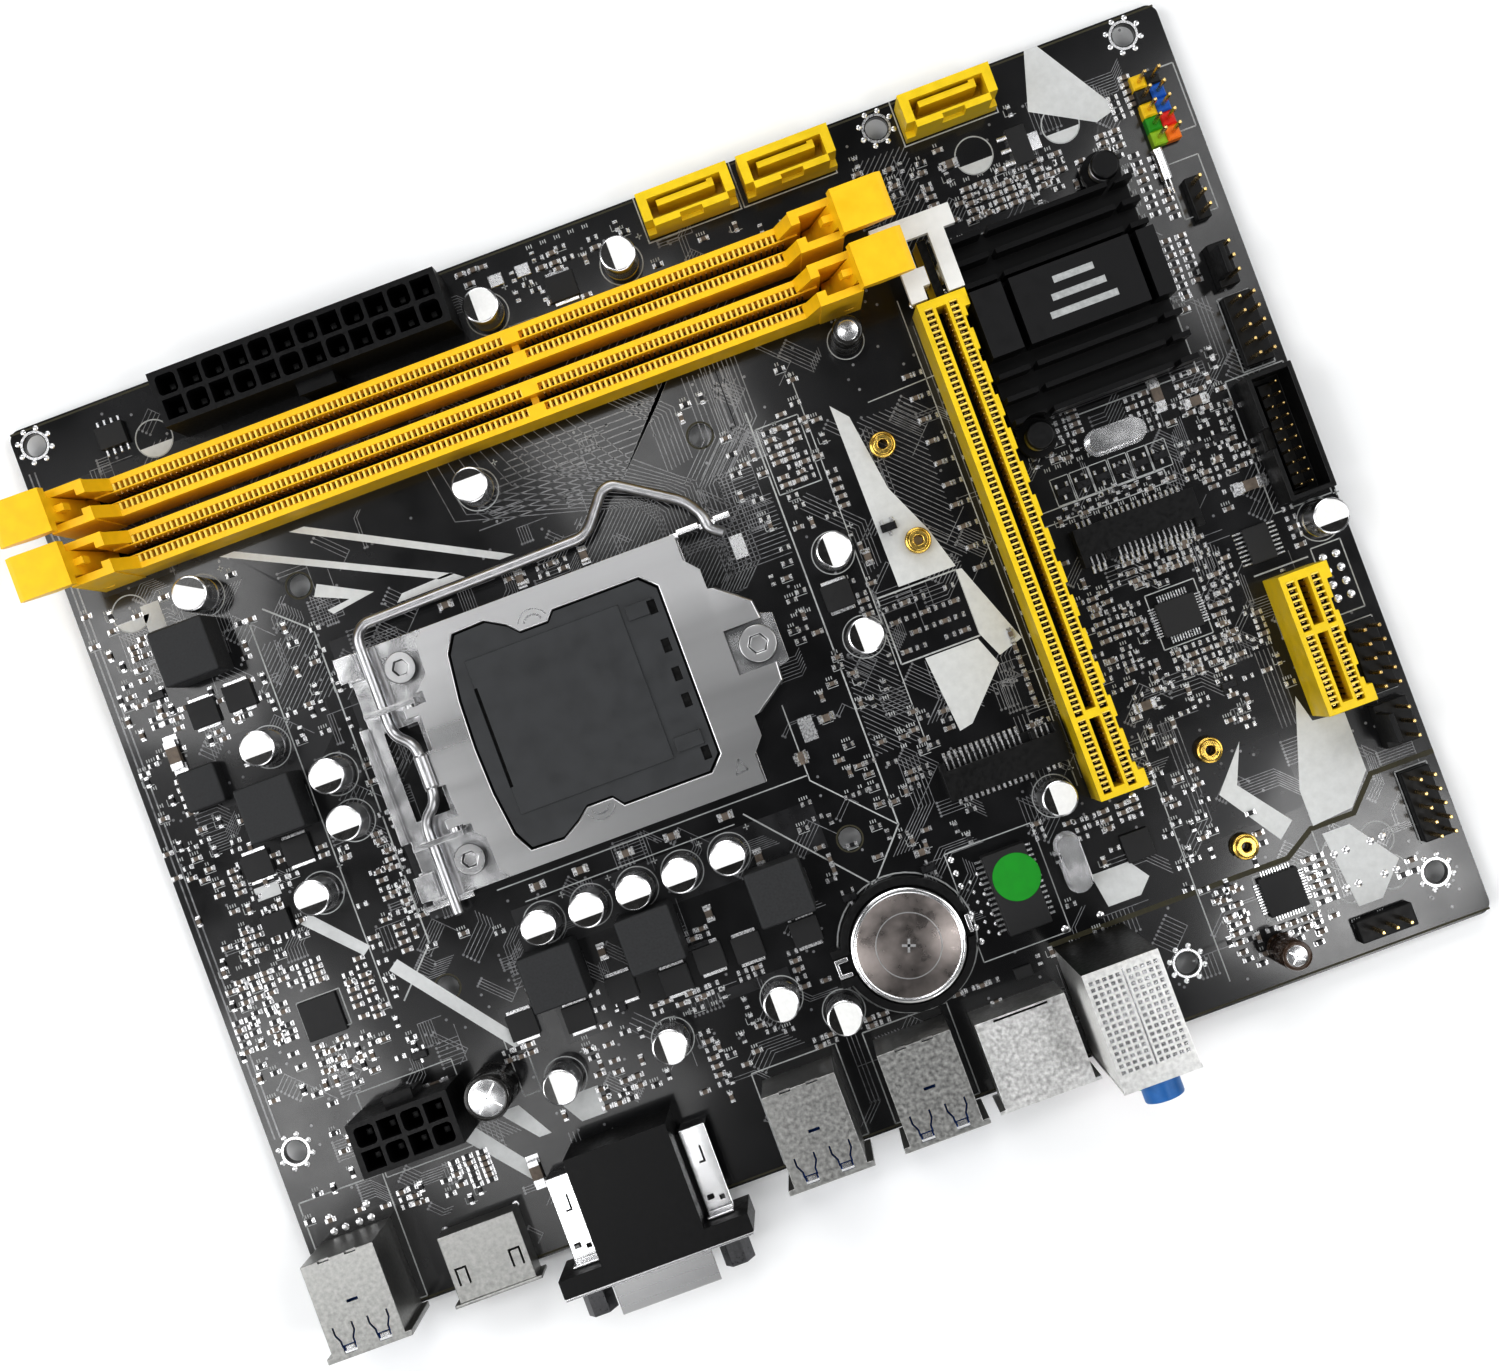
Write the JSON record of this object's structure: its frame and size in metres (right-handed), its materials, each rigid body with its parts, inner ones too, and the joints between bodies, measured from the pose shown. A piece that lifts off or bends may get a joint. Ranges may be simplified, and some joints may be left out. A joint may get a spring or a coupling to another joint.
{
  "type": "motherboard",
  "caption": "Small desktop computer board with a latched processor socket, memory and card slots, a finned chip cooler, a coin cell and a row of rear connectors",
  "frame": {"origin": "the centre of the rectangle of the four right-hand mounting holes, on the board's underside", "axes": "+X along the rear edge, to the right seen from above with the rear edge near; +Y from the rear edge to the front; +Z out of the component side"},
  "size_m": [0.2147, 0.1794, 0.0374],
  "materials": {
    "laminate": "glossy black solder mask",
    "steel": "stamped and plated",
    "nickel": "nickel plate",
    "dark_film": "thin film",
    "black_plastic": "moulded",
    "amber_plastic": "moulded",
    "yellow_plastic": "moulded",
    "white_plastic": "moulded",
    "blue_plastic": "moulded",
    "brass": "bare",
    "gold": "thin plate",
    "chip": "moulded compound",
    "pad": "soft pad",
    "black_aluminium": "black anodised",
    "ferrite": "pressed powder",
    "can": "drawn can",
    "sleeve": "shrink sleeve",
    "solder": "tin",
    "jack_plastic": "moulded, one colour a jack",
    "panel_plastic": "moulded, several colours"
  },
  "bodies": {
    "board": {"circuit_board": "laminate", "socket_back_plate": "steel", "back_plate_film": "dark_film", "cpu_socket": "black_plastic", "load_frame": "steel", "frame_screws": "steel", "memory_slot_front": "amber_plastic", "memory_slot_rear": "amber_plastic", "graphics_slot": "yellow_plastic", "short_slot": "yellow_plastic", "drive_ports": "yellow_plastic", "main_power_socket": "black_plastic", "cpu_power_socket": "black_plastic", "card_edge_sockets": "black_plastic", "card_standoffs": "brass", "chipset": "chip", "thermal_pad": "pad", "chipset_heatsink": "black_aluminium", "heatsink_pins": "black_plastic", "heatsink_springs": "nickel", "battery_holder": "black_plastic", "battery_clip": "nickel", "usb_shells": "nickel", "usb_tongues": "blue_plastic", "display_port_shell": "nickel", "display_port_tongue": "black_plastic", "video_port_body": "black_plastic", "video_port_shell": "nickel", "video_port_nuts": "steel", "video_port_clips": "nickel", "network_jack_shell": "nickel", "network_jack_insert": "black_plastic", "network_transformer": "chip", "audio_body": "black_plastic", "audio_shield": "nickel", "audio_jacks": "jack_plastic", "polymer_capacitors": "can", "vented_capacitors": "sleeve", "power_inductors": "ferrite", "power_transistors": "chip", "control_chips": "chip", "voltage_regulator": "chip", "crystals": "nickel", "panel_header": "panel_plastic", "usb_headers": "black_plastic", "shrouded_header": "black_plastic", "fan_headers": "black_plastic", "header_pins": "gold", "solder_tails": "solder"},
    "load_plate": {"load_plate": "steel"},
    "load_lever": {"load_lever": "nickel"},
    "socket_cap": {"socket_cap": "black_plastic"},
    "front_left_latch": {"front_slot_left_latch": "amber_plastic"},
    "front_right_latch": {"front_slot_right_latch": "amber_plastic"},
    "rear_left_latch": {"rear_slot_left_latch": "amber_plastic"},
    "rear_right_latch": {"rear_slot_right_latch": "amber_plastic"},
    "slot_clip": {"graphics_slot_clip": "white_plastic"},
    "battery": {"battery": "steel"}
  },
  "joints": [
    {"name": "lever_swing", "type": "hinge", "parent": "board", "child": "load_lever", "pos_m": [-0.13804, 0.00053, 0.0061], "axis": [0, -1, 0], "range_deg": [0, 130]},
    {"name": "plate_swing", "type": "hinge", "parent": "board", "child": "load_plate", "pos_m": [-0.13344, 0.00053, 0.0068], "axis": [0, -1, 0], "range_deg": [0, 100]},
    {"name": "cap_lift", "type": "slide", "parent": "load_plate", "child": "socket_cap", "axis": [0, 0, 1], "range_m": [0, 0.02]},
    {"name": "front_left_latch_swing", "type": "hinge", "parent": "board", "child": "front_left_latch", "pos_m": [-0.17534, 0.06198, 0.0061], "axis": [0, 1, 0], "range_deg": [-16, 8]},
    {"name": "front_right_latch_swing", "type": "hinge", "parent": "board", "child": "front_right_latch", "pos_m": [-0.03854, 0.06198, 0.0061], "axis": [0, -1, 0], "range_deg": [-11, 13]},
    {"name": "rear_left_latch_swing", "type": "hinge", "parent": "board", "child": "rear_left_latch", "pos_m": [-0.17534, 0.05253, 0.0061], "axis": [0, 1, 0], "range_deg": [-16, 8]},
    {"name": "rear_right_latch_swing", "type": "hinge", "parent": "board", "child": "rear_right_latch", "pos_m": [-0.03854, 0.05253, 0.0061], "axis": [0, -1, 0], "range_deg": [-11, 13]},
    {"name": "slot_clip_press", "type": "hinge", "parent": "board", "child": "slot_clip", "pos_m": [-0.02464, 0.04863, 0.0082], "axis": [-1, 0, 0], "range_deg": [0, 15]},
    {"name": "battery_lift", "type": "slide", "parent": "board", "child": "battery", "axis": [0, 0, 1], "range_m": [0, 0.015]}
  ],
  "couplings": [
    {"joint": "plate_swing", "follows": "lever_swing", "ratio": 0.76}
  ]
}
